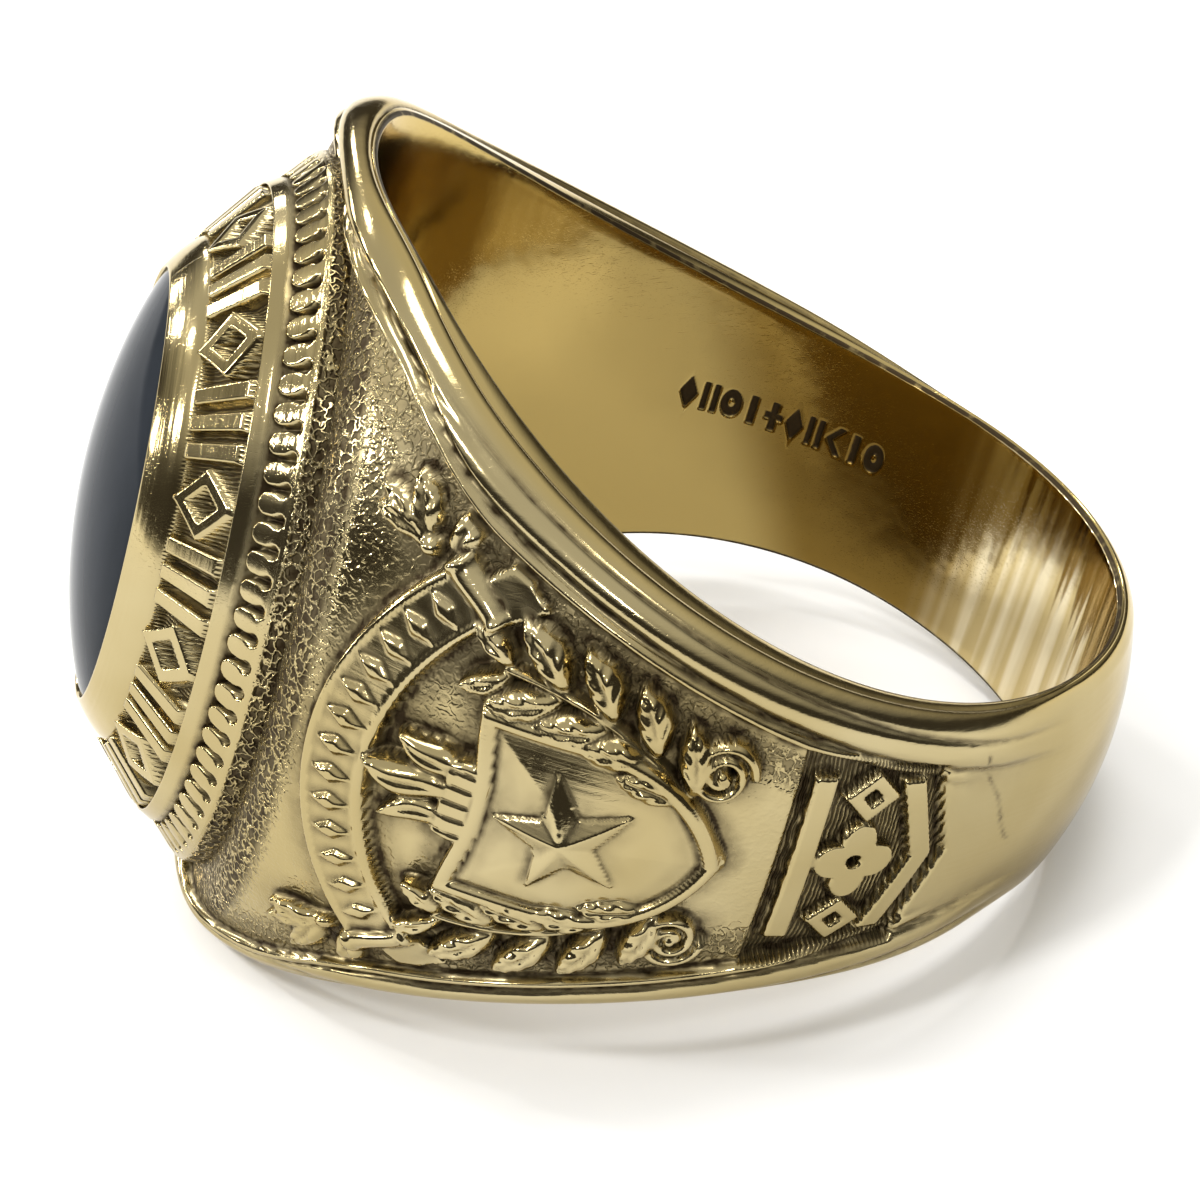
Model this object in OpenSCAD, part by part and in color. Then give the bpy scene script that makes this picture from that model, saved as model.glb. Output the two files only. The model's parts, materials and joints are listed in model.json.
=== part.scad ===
/* [Finger hole] */
// Inside diameter of the ring
bore_d = 19.8; // [16:0.1:22]

/* [Band] */
// Width of the band at the palm
palm_w = 6.0; // [4:0.1:8]
// Thickness of the band at the palm, at its crown
palm_t = 0.9; // [0.8:0.05:2]
// Radius of the palm's crown across the band
palm_crown_r = 9; // [8:0.5:20]
// Thickness of the shoulders, level with the bore's axis
shoulder_t = 1.95; // [1.6:0.05:2.4]
// Thickness that the shoulders taper to under the palm's crown
shoulder_end_t = 0.2; // [0.1:0.05:0.3]
// Radius of the shoulders' crown across the band
shoulder_crown_r = 15; // [14:0.5:30]
// Where the flare towards the head starts, from the bore's axis towards the palm
flare_start = 8; // [5:0.1:9]

/* [Head] */
// Length of the bore's wall at the head, along the finger
head_l = 18.8; // [16:0.1:21]
// Metal between the bore and the ground of the head
head_t = 0.5; // [0.4:0.05:1.2]
// Radius of the head's rounded end edges
head_edge_r = 0.6; // [0.3:0.05:0.8]

/* [Rim mouldings] */
// Width of the polished flange along both edges
rim_w = 1.1; // [0.6:0.05:1.6]
// Height of the flange over the ground
rim_rise = 0.28; // [0.15:0.01:0.4]
// Groove between the flange and the fine ridge beside it
rim_groove_w = 0.2; // [0.1:0.02:0.4]
// Width of the fine ridge
ridge_w = 0.28; // [0.15:0.01:0.5]
// Height of the fine ridge over the ground
ridge_rise = 0.18; // [0.1:0.01:0.3]

/* [Stone] */
// Length of the stone along the finger
stone_l = 10.8; // [8:0.1:13]
// Height of the stone's dome over the bezel's edge
dome_h = 0.9; // [0.6:0.05:1.6]
// Depth of the stone's straight girdle below the bezel's edge
girdle_h = 1.2; // [0.8:0.05:1.6]
// Gap between the stone and its seat
seat_gap = 0.05; // [0.03:0.01:0.12]

/* [Bezel] */
// Width of every oval as a share of its length
oval_ratio = 0.86; // [0.75:0.01:1]
// Slope of the bezel's sides
bezel_slope = 40.8; // [35:0.1:48]
// Height of the bezel's outer edge over the ground of the head
bezel_edge_h = 0.65; // [0.4:0.05:1]
// Width of the polished collar round the stone
collar_w = 0.85; // [0.5:0.05:1.2]
// Width of the sunk channel
channel_w = 1.45; // [1:0.05:1.8]
// Depth of the channel below the slope
channel_dip = 0.42; // [0.2:0.02:0.6]
// Width of the rail outside the channel
rail_w = 0.25; // [0.15:0.05:0.5]
// Width of the row of tongues
tongue_row_w = 0.8; // [0.5:0.05:1.2]
// Depth of the grooves between the tongues
tongue_dip = 0.28; // [0.15:0.01:0.4]
// Number of tongues round the bezel
tongue_count = 72; // [48:4:96]
// Width of one tongue
tongue_w = 0.46; // [0.3:0.02:0.5]
// Number of ornaments round the channel
channel_ornaments = 28; // [16:4:32]
// Size of one channel ornament across the channel
ornament_w = 1.05; // [0.6:0.05:1.25]
// Height of the ornaments over the channel's floor
ornament_rise = 0.36; // [0.2:0.02:0.5]

/* [Side crest] */
// Distance of the shield's middle from the bore's axis, towards the head
shield_x = 3.5; // [3:0.1:4.2]
// Length of the shield, from its top edge to its point
shield_l = 5.6; // [4.4:0.1:6]
// Width of the shield
shield_w = 4.8; // [3.6:0.1:5.2]
// Length of the shield's straight sides
shield_side_l = 2.2; // [1.4:0.1:2.8]
// Width of the shield's raised border
shield_border = 0.42; // [0.2:0.02:0.6]
// Height of the low parts of the crest over the ground
low_rise = 0.22; // [0.1:0.02:0.3]
// Height of the high parts of the crest over the ground
high_rise = 0.4; // [0.32:0.02:0.55]
// Tip to tip size of the star
star_d = 2.6; // [1.4:0.1:3]
// Length of one laurel leaf
leaf_l = 1.35; // [0.9:0.05:1.6]
// Width of one laurel leaf
leaf_w = 0.56; // [0.3:0.02:0.7]
// Number of leaf pairs on a branch
leaf_pairs = 5; // [3:1:6]
// Width of a branch's stem
stem_w = 0.24; // [0.15:0.01:0.4]
// Distance between the shield's side and the branch
branch_gap = 0.75; // [0.5:0.05:1]
// Width of the torch's handle
torch_w = 0.9; // [0.6:0.05:1.2]
// Depth of the torch's cup
cup_l = 0.45; // [0.3:0.05:0.7]
// Radius of the scrolls beside the shield's point
scroll_r = 0.7; // [0.5:0.05:0.8]

/* [End panels] */
// Where the end panel starts, from the bore's axis towards the palm
panel_start = 0.6; // [0.4:0.05:1]
// Length of the end panel without its point
panel_l = 3.4; // [3:0.1:3.8]
// Length of the panel's point
panel_tip = 0.75; // [0.4:0.05:1]
// Width of the panel at its start
panel_start_w = 5.6; // [4.6:0.1:5.8]
// Width of the panel where its point starts
panel_end_w = 4.6; // [3.8:0.1:4.9]
// Depth of the panel's ground below the shoulder
panel_dip = 0.22; // [0.1:0.02:0.3]
// Width of the bars raised on the panel
panel_bar_w = 0.48; // [0.3:0.02:0.6]
// Gap between the raised figures and round them
panel_gap = 0.32; // [0.2:0.02:0.4]

/* [Hidden] */
$fn = 96;
GOLD = "goldenrod";
SLATE = "darkslategray";
// Extra reach of a cut past the surface that it opens
over = 1;
bore_r = bore_d / 2;
palm_r = bore_r + palm_t;
half_palm_w = palm_w / 2;
// The shoulders' circle runs under the palm's crown
palm_run = bore_r + shoulder_end_t;
side_reach = bore_r + shoulder_t;
shoulder_r = (palm_run + side_reach * side_reach / palm_run) / 2;
shoulder_shift = shoulder_r - palm_run;
ground_x = bore_r + head_t;
// The flare is an arc in the side view, level with the palm's edge where it starts
flare_rise = head_l / 2 - half_palm_w;
flare_run = flare_start + bore_r;
flare_r = (flare_run * flare_run + flare_rise * flare_rise) / (2 * flare_rise);
flare_z = half_palm_w + flare_r;
// Centre of the head's rounded end edge, touching the head's face and just crossing the flare
edge_x = ground_x + rim_rise - head_edge_r;
edge_run = flare_start + edge_x;
edge_bite = 0.99;
edge_reach = flare_r + edge_bite * head_edge_r;
edge_z = flare_z - sqrt(edge_reach * edge_reach - edge_run * edge_run);
edge_turn = acos(edge_run / edge_reach);
body_reach = 2 * (shoulder_r + shoulder_shift) + over;
body_h = head_l + 4 * rim_w;
// Ovals of the bezel, as half lengths, from the stone outwards
stone_a = stone_l / 2;
collar_a = stone_a + collar_w;
channel_a = collar_a + channel_w;
rail_a = channel_a + rail_w;
tongue_a = rail_a + tongue_row_w;
bezel_h = bezel_edge_h + (tongue_a - stone_a) * tan(bezel_slope);
bezel_top = ground_x + bezel_h;
// Radii of the stone's crown, along it and across it
stone_b = stone_a * oval_ratio;
dome_r = (stone_a * stone_a + dome_h * dome_h) / (2 * dome_h);
dome_cross_r = (stone_b * stone_b + dome_h * dome_h) / (2 * dome_h);
// The ring lies on the palm's lower edge and the head's lower end edge
palm_edge_r = palm_r - palm_crown_r + sqrt(palm_crown_r * palm_crown_r - half_palm_w * half_palm_w);
rest_run = palm_edge_r + edge_x;
rest_drop = edge_z - half_palm_w;
rest_tilt = atan2(rest_drop, rest_run) + asin(head_edge_r / norm([rest_run, rest_drop]));
rest_z = palm_edge_r * sin(rest_tilt) + half_palm_w * cos(rest_tilt);
palm_end = (palm_r - palm_crown_r) * cos(rest_tilt) + palm_crown_r;
dome_centre = bezel_top + dome_h - dome_r;
head_end = dome_centre * cos(rest_tilt) + dome_r;
rest_x = (head_end - palm_end) / 2;

function slope_h(a, dip) = bezel_edge_h + (tongue_a - a) * tan(bezel_slope) - dip;

// Side view of the band, pulled in from its edges by inset
module side_outline(inset = 0) {
  difference() {
    square([body_reach, body_h], center = true);
    for (side = [-1, 1]) {
      translate([flare_start, side * flare_z]) circle(r = flare_r + inset, $fn = 180);
      translate([flare_start + body_reach / 2, side * (half_palm_w - inset + body_h / 2)])
        square([body_reach, body_h], center = true);
      translate([-edge_x, side * edge_z]) scale([1, side]) end_edge_waste();
    }
  }
}

// What the rounding of the head's end edge takes off
module end_edge_waste() {
  far = 4 * head_edge_r;
  difference() {
    polygon([[0, 0], [-far, 0], [-far, far], [0, far], [far * cos(edge_turn), far * sin(edge_turn)]]);
    circle(r = head_edge_r);
  }
}

// Shoulders and head, raised over their ground by rise
module shoulder_form(rise = 0) {
  intersection() {
    translate([-shoulder_shift, 0, 0])
      rotate_extrude()
        intersection() {
          translate([shoulder_r - shoulder_crown_r, 0])
            circle(r = shoulder_crown_r + rise, $fn = 180);
          translate([0, -body_h / 2]) square([shoulder_r + rise, body_h]);
        }
    translate([-ground_x - rise, -body_reach / 2, -body_h / 2])
      cube([body_reach, body_reach, body_h]);
  }
}

// A side view outline, drawn right through the ring's width
module through_width() {
  rotate([90, 0, 0]) linear_extrude(height = body_reach, center = true) children();
}

// A side view outline, up to a level over the ground
module struck(rise) {
  intersection() {
    shoulder_form(rise);
    through_width() children();
  }
}

// What is over a level inside a side view outline
module sunk(level) {
  difference() {
    through_width() children();
    shoulder_form(level);
  }
}

// Round hoop with a crowned outer face
module palm_hoop() {
  rotate_extrude()
    intersection() {
      translate([palm_r - palm_crown_r, 0]) circle(r = palm_crown_r);
      translate([bore_r - over / 2, -half_palm_w]) square([palm_t + over, palm_w]);
    }
}

// Band with its ground sunk between the flanges, and a fine ridge beside each flange
module band() {
  ridge_start = rim_w + rim_groove_w;
  difference() {
    struck(rim_rise) side_outline();
    sunk(0) side_outline(rim_w);
  }
  struck(ridge_rise) edge_strip(ridge_start, ridge_start + ridge_w);
  palm_hoop();
}

// Strip along the band's edges, between two distances from them
module edge_strip(from, to) {
  difference() {
    side_outline(from);
    side_outline(to);
  }
}

// Turns a bezel part from standing on the plane to the head's face
module on_head() {
  translate([-ground_x, 0, 0]) rotate([0, -90, 0]) children();
}

module oval() {
  scale([1, oval_ratio, 1]) children();
}

// Stepped bezel: outer wall, row floor, rail, channel and collar
module bezel() {
  sunk = head_t / 2;
  rotate_extrude()
    polygon([
      [0, -sunk],
      [tongue_a, -sunk],
      [tongue_a, slope_h(tongue_a, tongue_dip)],
      [rail_a, slope_h(rail_a, tongue_dip)],
      [rail_a, slope_h(rail_a, 0)],
      [channel_a, slope_h(channel_a, 0)],
      [channel_a, slope_h(channel_a, channel_dip)],
      [collar_a, slope_h(collar_a, channel_dip)],
      [collar_a, slope_h(collar_a, 0)],
      [stone_a, bezel_h],
      [0, bezel_h]
    ]);
}

// Struck along the head's height: a top view outline, up to a dip below the bezel's slope
module struck_on_bezel(inner, outer, dip) {
  intersection() {
    rotate_extrude()
      polygon([
        [inner, 0],
        [outer, 0],
        [outer, slope_h(outer, dip)],
        [inner, slope_h(inner, dip)]
      ]);
    linear_extrude(height = bezel_h) children();
  }
}

// Tongues with round inner ends, all round the bezel
module tongues() {
  round_at = rail_a + tongue_w / 2;
  struck_on_bezel(rail_a, tongue_a, 0)
    for (i = [0 : tongue_count - 1])
      rotate((i + 0.5) * 360 / tongue_count) {
        translate([round_at, 0]) circle(d = tongue_w, $fn = 24);
        translate([round_at, -tongue_w / 2]) square([tongue_row_w, tongue_w]);
      }
}

// Lozenges and groups of three bars by turns, all round the channel
module channel_ornament() {
  middle_a = (collar_a + channel_a) / 2;
  bar_w = ornament_w / 5;
  struck_on_bezel(collar_a, channel_a, channel_dip - ornament_rise)
    for (i = [0 : channel_ornaments - 1])
      rotate(i * 360 / channel_ornaments)
        translate([middle_a, 0])
          if (i % 2 == 0) {
            rotate(45) square(ornament_w / sqrt(2), center = true);
          } else {
            for (bar = [-1, 0, 1])
              translate([0, bar * 1.8 * bar_w]) square([ornament_w, bar_w], center = true);
          }
}

// Outline of a shield whose point is towards the palm, pulled in by inset
module shield_outline(inset = 0) {
  half_w = shield_w / 2;
  bow_l = shield_l - shield_side_l;
  bow_r = (bow_l * bow_l + half_w * half_w) / (2 * half_w);
  bow_start = shield_side_l - shield_l / 2;
  intersection() {
    translate([inset - shield_l / 2, -half_w]) square([shield_l, shield_w]);
    union() {
      translate([-shield_l / 2, inset - half_w]) square([shield_side_l, shield_w - 2 * inset]);
      intersection_for (side = [-1, 1])
        translate([bow_start, side * (half_w - bow_r)]) circle(r = bow_r - inset);
    }
  }
}

// Five-pointed star with one point towards the head
module star() {
  tip_r = star_d / 2;
  notch_r = tip_r * 0.42;
  polygon([for (i = [0 : 9]) (i % 2 == 0 ? tip_r : notch_r) * [-cos(i * 36), sin(i * 36)]]);
}

// Leaf whose stem end is at the origin
module leaf() {
  bow_r = (leaf_l * leaf_l + leaf_w * leaf_w) / (4 * leaf_w);
  translate([leaf_l / 2, 0])
    intersection_for (side = [-1, 1])
      translate([0, side * (bow_r - leaf_w / 2)]) circle(r = bow_r);
}

// Laurel branch beside the shield, its stem an arc that starts at the shield's point
module branch() {
  rise = shield_w / 2 + branch_gap;
  bend_r = (shield_l * shield_l + rise * rise) / (2 * rise);
  stem_turn = asin(shield_l / bend_r);
  leaf_turn = stem_turn / leaf_pairs;
  leaf_lean = 32;
  leaf_start = stem_w / 3;
  translate([shield_l / 2 - shield_l, rise - bend_r]) {
    intersection() {
      difference() {
        circle(r = bend_r + stem_w / 2);
        circle(r = bend_r - stem_w / 2);
      }
      polygon([[0, 0], [0, 2 * bend_r], 2 * bend_r * [sin(stem_turn), cos(stem_turn)]]);
    }
    for (i = [0 : leaf_pairs - 1], side = [-1, 1])
      rotate(-(i + 0.3) * leaf_turn)
        translate([0, bend_r - side * leaf_start]) rotate(180 + side * leaf_lean) leaf();
  }
}

// Flame of three round tongues over the torch's cup
module flame() {
  tongue_r = torch_w * 0.6;
  for (side = [-1, 0, 1])
    translate([(abs(side) - 1.6) * tongue_r, side * tongue_r * 0.9]) circle(r = tongue_r);
}

// Torch behind the shield, its handle showing past the shield's point
module torch() {
  translate([-shield_l / 2 - cup_l, -torch_w]) square([cup_l + shield_border, 2 * torch_w]);
}

// Round scroll on each side of the shield's point
module scroll() {
  translate([shield_l / 2 - scroll_r, shield_w / 2 - scroll_r / 2]) {
    difference() {
      circle(r = scroll_r);
      circle(r = scroll_r * 0.62);
    }
    circle(r = scroll_r * 0.3);
  }
}

// Five-sided outline of the sunk end panel
module panel_outline() {
  polygon([
    [0, -panel_start_w / 2],
    [panel_l, -panel_end_w / 2],
    [panel_l + panel_tip, 0],
    [panel_l, panel_end_w / 2],
    [0, panel_start_w / 2]
  ]);
}

// Bar, four-petalled flower and chevron, from the panel's start to its point
module panel_figures() {
  reach = panel_end_w / 2 - panel_gap;
  chevron_x = panel_l - panel_gap - panel_bar_w;
  petal_r = (chevron_x - 2 * panel_gap - 2 * panel_bar_w) / 4;
  flower_x = 2 * panel_gap + panel_bar_w + 2 * petal_r;
  translate([panel_gap, -reach]) square([panel_bar_w, 2 * reach]);
  translate([flower_x, 0]) circle(r = petal_r * 0.8);
  for (turn = [0 : 90 : 270])
    translate([flower_x, 0]) rotate(turn) translate([petal_r * 1.15, 0]) circle(r = petal_r * 0.85);
  for (side = [-1, 1])
    polygon([
      [chevron_x, side * reach],
      [chevron_x + panel_tip, 0],
      [chevron_x + panel_tip + panel_bar_w, 0],
      [chevron_x + panel_bar_w, side * reach]
    ]);
}

module side_crest() {
  struck(low_rise) translate([-shield_x, 0]) {
    shield_outline();
    torch();
    for (side = [-1, 1]) scale([1, side]) {
      branch();
      scroll();
    }
  }
  struck(high_rise) translate([-shield_x, 0]) {
    difference() {
      shield_outline();
      shield_outline(shield_border);
    }
    translate([-shield_l / 8, 0]) star();
    translate([-shield_l / 2 - cup_l, 0]) flame();
  }
  struck(0) translate([panel_start, 0]) panel_figures();
}

module ring_form() {
  difference() {
    union() {
      difference() {
        band();
        sunk(-panel_dip) translate([panel_start, 0]) panel_outline();
      }
      side_crest();
      on_head() oval() {
        bezel();
        tongues();
        channel_ornament();
      }
    }
    cylinder(d = bore_d, h = body_h + 2 * over, center = true, $fn = 180);
    on_head() oval() seat();
  }
}

// Straight oval pocket for the stone's girdle
module seat() {
  translate([0, 0, bezel_h - girdle_h - seat_gap])
    cylinder(r = stone_a, h = girdle_h + over);
}

// Low dome on a straight oval girdle, its crown an arc both along and across the stone
module cabochon() {
  girdle_ratio = (stone_b - seat_gap) / (stone_a - seat_gap);
  on_head()
    intersection() {
      translate([0, 0, bezel_h - girdle_h])
        scale([1, girdle_ratio, 1]) cylinder(r = stone_a - seat_gap, h = girdle_h + dome_h);
      translate([0, 0, bezel_h + dome_h - dome_cross_r])
        rotate([0, 90, 0])
          rotate_extrude($fn = 180)
            intersection() {
              translate([dome_cross_r - dome_r, 0]) circle(r = dome_r, $fn = 360);
              translate([0, -stone_a]) square([dome_cross_r, stone_l]);
            }
    }
}

// Lays the ring on its side, centred over the surface it rests on
module at_rest() {
  translate([rest_x, 0, rest_z]) rotate([0, rest_tilt, 0]) children();
}

module ring_body() {
  color(GOLD) at_rest() ring_form();
}

module stone() {
  color(SLATE) at_rest() cabochon();
}

ring_body();
stone();
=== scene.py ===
# A gold class ring with a dark oval cabochon, lying on its side on a pale floor
import json
import math

import bpy
import numpy as np
from mathutils import Matrix, Vector


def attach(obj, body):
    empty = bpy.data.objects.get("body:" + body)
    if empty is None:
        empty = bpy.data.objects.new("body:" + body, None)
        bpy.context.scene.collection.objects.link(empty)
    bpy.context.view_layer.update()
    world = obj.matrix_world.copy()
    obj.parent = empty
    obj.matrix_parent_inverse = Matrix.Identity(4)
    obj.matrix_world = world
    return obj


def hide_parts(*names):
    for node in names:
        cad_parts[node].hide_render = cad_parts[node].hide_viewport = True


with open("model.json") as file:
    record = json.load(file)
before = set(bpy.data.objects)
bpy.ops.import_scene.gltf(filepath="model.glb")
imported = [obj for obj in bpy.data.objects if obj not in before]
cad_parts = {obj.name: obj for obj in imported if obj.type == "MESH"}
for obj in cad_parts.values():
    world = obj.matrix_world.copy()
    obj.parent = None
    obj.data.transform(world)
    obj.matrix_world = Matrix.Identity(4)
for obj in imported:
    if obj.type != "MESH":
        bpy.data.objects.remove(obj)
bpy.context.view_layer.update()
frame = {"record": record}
millimetre = 0.001
tiny = 1e-6  # keeps a division real

# The ring is worked out in its own frame, in millimetres: the bore's middle is the origin,
# z runs along the finger, the head is towards -x and the palm towards +x
fingerHole = frame["record"]["mounts"][0]
boreCentre = np.array(fingerHole["pos_m"])
boreRadius = fingerHole["dims"]["r_mm"]
leanAngle = math.atan2(fingerHole["axis"][0], fingerHole["axis"][2])


def stacked(*parts):  # coordinates side by side, spread to one shape
    return np.stack(np.broadcast_arrays(*parts), -1)


def highest(*heights):
    return np.maximum.reduce(np.broadcast_arrays(*heights))


def lowest(*heights):
    return np.minimum.reduce(np.broadcast_arrays(*heights))


def toFloorFrame(points):  # ring's own millimetres to metres in the shared frame
    x, y, z = points[..., 0], points[..., 1], points[..., 2]
    leanCos, leanSin = math.cos(leanAngle), math.sin(leanAngle)
    return stacked(x * leanCos + z * leanSin, y, z * leanCos - x * leanSin) * millimetre + boreCentre


def smoothStep(low, high, x):
    share = np.clip((x - low) / (high - low), 0, 1)
    return share * share * (3 - 2 * share)


def softMin(first, second, blendWidth):
    share = np.clip(0.5 + 0.5 * (second - first) / blendWidth, 0, 1)
    return second + (first - second) * share - blendWidth * share * (1 - share)


def softMax(first, second, blendWidth):
    return -softMin(-first, -second, blendWidth)


def between(pair, share):
    return pair[0] + (pair[1] - pair[0]) * share


def roundBead(distance, middle, width):
    share = np.clip(np.abs(distance - middle) / (width / 2), 0, 1)
    return np.sqrt(1 - share * share)


def pillow(inside, height, roll):  # rounded edge: inside is the depth into the figure
    share = np.clip(inside / roll, 0, 1)
    return height * np.sqrt(1 - (1 - share) ** 2)


def deselectAll():
    if bpy.context.object and bpy.context.object.mode != "OBJECT":
        bpy.ops.object.mode_set(mode="OBJECT")
    bpy.ops.object.select_all(action="DESELECT")


def readPoints(mesh):
    flat = np.zeros(len(mesh.vertices) * 3, np.float32)
    mesh.vertices.foreach_get("co", flat)
    return flat.reshape(-1, 3)


def layPoints(mesh, points):
    mesh.vertices.foreach_set("co", toFloorFrame(points).astype(np.float32).ravel())
    mesh.update()


# Sheets: a grid of faces whose points are laid where the ring's surface is

seamReach = 2e-7  # metres within which the two edges of a closed sheet are merged


def closedRound(values):  # the last column comes back to the first
    return np.concatenate([values, values[:, :1]], 1)


def addMark(mesh, markName, kind, field, order, values):
    spread = np.zeros((len(order), values.shape[-1]), np.float32)
    spread[order] = values
    mesh.attributes.new(markName, kind, "POINT").data.foreach_set(field, spread.ravel())


def sheetPiece(name, points, marks, surface, flip, closed=False):
    if closed:
        points, surface = closedRound(points), closedRound(surface)
        marks = {markName: closedRound(values) for markName, values in marks.items()}
    rows, columns = points.shape[:2]
    deselectAll()
    bpy.ops.mesh.primitive_grid_add(x_subdivisions=columns - 1, y_subdivisions=rows - 1, size=2)
    piece = bpy.context.object
    piece.name = piece.data.name = name
    mesh = piece.data
    flat = np.round(readPoints(mesh), 5)
    order = np.lexsort((flat[:, 0], flat[:, 1]))  # row by row
    placed = np.zeros((len(order), 3))
    placed[order] = points.reshape(-1, 3)
    layPoints(mesh, placed)
    for markName, values in marks.items():
        addMark(mesh, markName, "FLOAT", "value", order, values.reshape(-1, 1))
    surface = np.concatenate([surface, 0 * surface[..., :1]], -1)
    addMark(mesh, "surface", "FLOAT_VECTOR", "vector", order, surface.reshape(-1, 3))
    bpy.ops.object.mode_set(mode="EDIT")
    bpy.ops.mesh.select_all(action="SELECT")
    if closed:
        bpy.ops.mesh.remove_doubles(threshold=seamReach)
    if flip:
        bpy.ops.mesh.flip_normals()
    bpy.ops.object.mode_set(mode="OBJECT")
    bpy.ops.object.shade_smooth()
    return piece


def spreadAlong(*stretches):  # (from, to, count) stretches, joined end to end
    values = [np.linspace(start, end, count + 1)[:-1] for start, end, count in stretches]
    return np.concatenate(values + [[stretches[-1][1]]])


def hollowFrom(height, reach, depth):  # 0 on high places, 1 where the surface lies in a hollow
    blurred = height
    for axis in (0, 1):
        size = blurred.shape[axis]
        before = np.repeat(blurred.take([0], axis), reach, axis)
        after = np.repeat(blurred.take([-1], axis), reach, axis)
        summed = np.cumsum(np.concatenate([before, blurred, after], axis), axis)
        upper = summed.take(np.arange(2 * reach, 2 * reach + size), axis)
        lower = summed.take(np.arange(size), axis)
        blurred = (upper - lower) / (2 * reach)
    return np.clip((blurred - height) / depth, 0, 1)


# Band: ground surface, half width and rim mouldings

band = {
    "shoulderRadius": 12.0016,
    "shoulderShift": 1.9016,
    "shoulderCrown": 15.0,
    "tableX": 10.4,  # level of the head's face
    "tableBlend": 0.5,
    "palmRadius": 10.8,
    "palmCrown": 9.0,
    "palmBlend": 0.12,
    "flareRadius": 28.232,
    "flareStart": 8.0,
    "palmHalfWidth": 3.0,
    "flareReach": 10.3,
    "headHalfWidth": 9.35,
    "headBlend": 0.7,
    "least": 0.2,  # keeps roots and divisions real where a form is out of reach
}
rim = {
    "rollAlong": (0.4, 0.5),  # how far the rounded edge reaches along the finger: at the head, at the shank
    "rollShare": (0.9, 0.62, 0.8),  # its share of the edge's thickness: at the head, the shank, the palm
    "rollToHead": (48, 18),  # degrees from the head over which one share goes over to the next
    "rollToPalm": (118, 150),
    "shorter": 0.35,  # how much shorter the rounded edge is at the palm
    "shorterFrom": (110, 150),
    "base": 0.14,  # height of the mouldings' foot over the ground
    # middle, width and height, measured over the surface from the land: the head's bead, the shank's two
    "beads": ((0.44, 0.84, 0.2), (0.38, 0.66, 0.11), (1.04, 0.56, 0.11)),
    "ridgeAt": (1.06, 1.62),
    "ridge": (0.28, 0.15),  # width and height over the foot
    "fieldStart": (1.28, 1.92),
    "headToShank": (34, 56),  # degrees from the head
    "beadFade": (108, 140),
    "ridgeFade": (100, 120),
    "cornerRound": 0.12,
    "landCrown": 0.03,
    "insideTone": 0.7,  # how much of the bore's painted warm reflection tone the rounded edges have
    "insideFrom": (0.15, 0.7),
}


def crownAt(radius, across):  # height of an arc at a distance from its middle
    return np.sqrt(np.maximum(radius ** 2 - across ** 2, band["least"]))


def groundRadius(turn, z):  # turn is the angle from the head, in radians
    barrel = band["shoulderRadius"] - band["shoulderCrown"] + crownAt(band["shoulderCrown"], z)
    shift = band["shoulderShift"]
    shoulder = shift * np.cos(turn) + crownAt(barrel, shift * np.sin(turn))
    table = band["tableX"] / np.maximum(np.cos(turn), band["least"])
    formed = softMin(shoulder, table, band["tableBlend"])
    palmDrop = band["palmCrown"] - crownAt(band["palmCrown"], z)
    return softMax(formed, band["palmRadius"] - palmDrop + 0 * turn, band["palmBlend"])


def halfWidth(turn):
    run = np.maximum(band["flareStart"] + band["flareReach"] * np.cos(turn), 0)
    flared = band["palmHalfWidth"] + band["flareRadius"] - crownAt(band["flareRadius"], run)
    return softMin(flared, band["headHalfWidth"] + 0 * turn, band["headBlend"])


def awayFromHead(turn):  # in degrees, the same on both sides of the ring
    return np.degrees(np.arccos(np.clip(np.cos(turn), -1, 1)))


def fadeOut(turn, stretch):
    return 1 - smoothStep(*stretch, awayFromHead(turn))


def shankShare(turn):  # 0 beside the head, 1 on the shank
    return smoothStep(*rim["headToShank"], awayFromHead(turn))


def rimFoot(turn):
    return rim["base"] * fadeOut(turn, rim["beadFade"])


def mouldings(turn, run):  # height over the ground; run is measured over the surface from the land
    shank = shankShare(turn)
    beads = 0 * run
    for share, (middle, width, rise) in zip((1 - shank, shank, shank), rim["beads"]):
        beads = beads + share * rise * roundBead(run, middle, width)
    ridgeAt = between(rim["ridgeAt"], shank)
    width, rise = rim["ridge"]
    ridge = (rim["base"] + rise) * roundBead(run, ridgeAt, width)
    foot = rim["base"] * smoothStep(ridgeAt - width / 2, ridgeAt - width, run)
    return (foot + beads) * fadeOut(turn, rim["beadFade"]) + ridge * fadeOut(turn, rim["ridgeFade"])


def edgeLevel(turn):  # radius of the band's outer face at its edge, before it is rounded
    return groundRadius(turn, halfWidth(turn)) + rimFoot(turn)


def edgeRoll(turn):  # the rounded edge's reach along the finger, and inwards
    away = awayFromHead(turn)
    head, shank, palm = rim["rollShare"]
    share = shank + (head - shank) * smoothStep(*rim["rollToHead"], away)
    share = share + (palm - shank) * smoothStep(*rim["rollToPalm"], away)
    thickness = edgeLevel(turn) - boreRadius - rim["cornerRound"]
    shorter = 1 - rim["shorter"] * smoothStep(*rim["shorterFrom"], away)
    return between(rim["rollAlong"], shankShare(turn)) * shorter, share * thickness


def ringPoint(turn, radius, z, side):  # side is -1 towards the viewer, 1 away
    return stacked(-radius * np.cos(turn), side * radius * np.sin(turn), z)


# Relief of the side. u runs from the crest's middle towards the palm, v along the finger

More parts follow.
